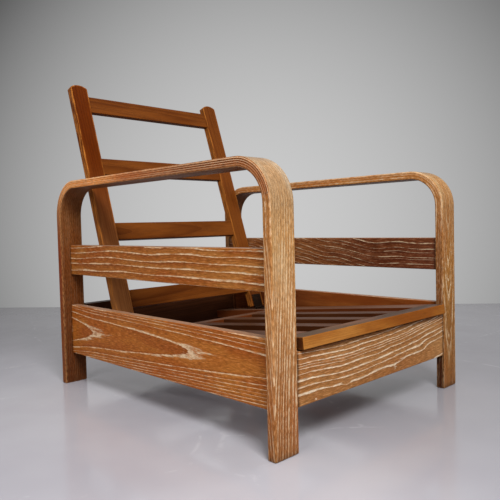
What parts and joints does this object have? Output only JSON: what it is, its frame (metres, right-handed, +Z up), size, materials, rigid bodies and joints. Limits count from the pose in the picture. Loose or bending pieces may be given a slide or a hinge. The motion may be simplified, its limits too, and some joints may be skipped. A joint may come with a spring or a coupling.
{
  "type": "reclining armchair",
  "caption": "Bentwood armchair frame of limed oak with a sloping slatted seat and a ladder back that leans on pivots and pushes the hinged seat forward.",
  "frame": {"origin": "on the floor below the middle of the whole chair, arms and back included", "axes": "+X across the chair, +Y from the front to the rear, +Z up from the floor"},
  "size_m": [0.691, 0.8852, 0.8494],
  "materials": {
    "limed_oak": "satin, pale lime in the pores",
    "brown_oak": "satin",
    "dowel_beech": "plain",
    "dark_iron": "blackened",
    "steel": "dull"
  },
  "bodies": {
    "carcass": {"arm_bow_left": "limed_oak", "arm_bow_right": "limed_oak", "mid_rail_left": "limed_oak", "mid_rail_right": "limed_oak", "lower_rail_left": "limed_oak", "lower_rail_right": "limed_oak", "front_rail": "limed_oak", "rear_rail": "brown_oak", "rail_dowels": "dowel_beech", "pivot_bolts": "steel", "pivot_spacers": "brown_oak"},
    "back_frame": {"back_stile_left": "brown_oak", "back_stile_right": "brown_oak", "back_rung_bottom": "brown_oak", "back_rung_lower": "brown_oak", "back_rung_upper": "brown_oak", "back_rung_top": "brown_oak", "stile_hinge_leaf_left": "dark_iron", "stile_hinge_leaf_right": "dark_iron", "stile_hinge_screws": "steel"},
    "seat_frame": {"seat_front_board": "brown_oak", "seat_rear_cross": "brown_oak", "seat_side_left": "brown_oak", "seat_side_right": "brown_oak", "seat_slat_left": "brown_oak", "seat_slat_middle": "brown_oak", "seat_slat_right": "brown_oak", "seat_dowels": "dowel_beech", "seat_hinge_leaf_left": "dark_iron", "seat_hinge_leaf_right": "dark_iron", "seat_hinge_screws": "steel", "hinge_pins": "steel"}
  },
  "joints": [
    {"name": "back_recline", "type": "hinge", "parent": "carcass", "child": "back_frame", "pos_m": [0, 0.26796, 0.3452], "axis": [-1, 0, 0], "range_deg": [0, 16]},
    {"name": "seat_fold", "type": "hinge", "parent": "back_frame", "child": "seat_frame", "pos_m": [0, 0.19164, 0.16043], "axis": [1, 0, 0], "range_deg": [0, 18]}
  ],
  "couplings": [
    {"joint": "seat_fold", "follows": "back_recline", "ratio": 1.12}
  ]
}
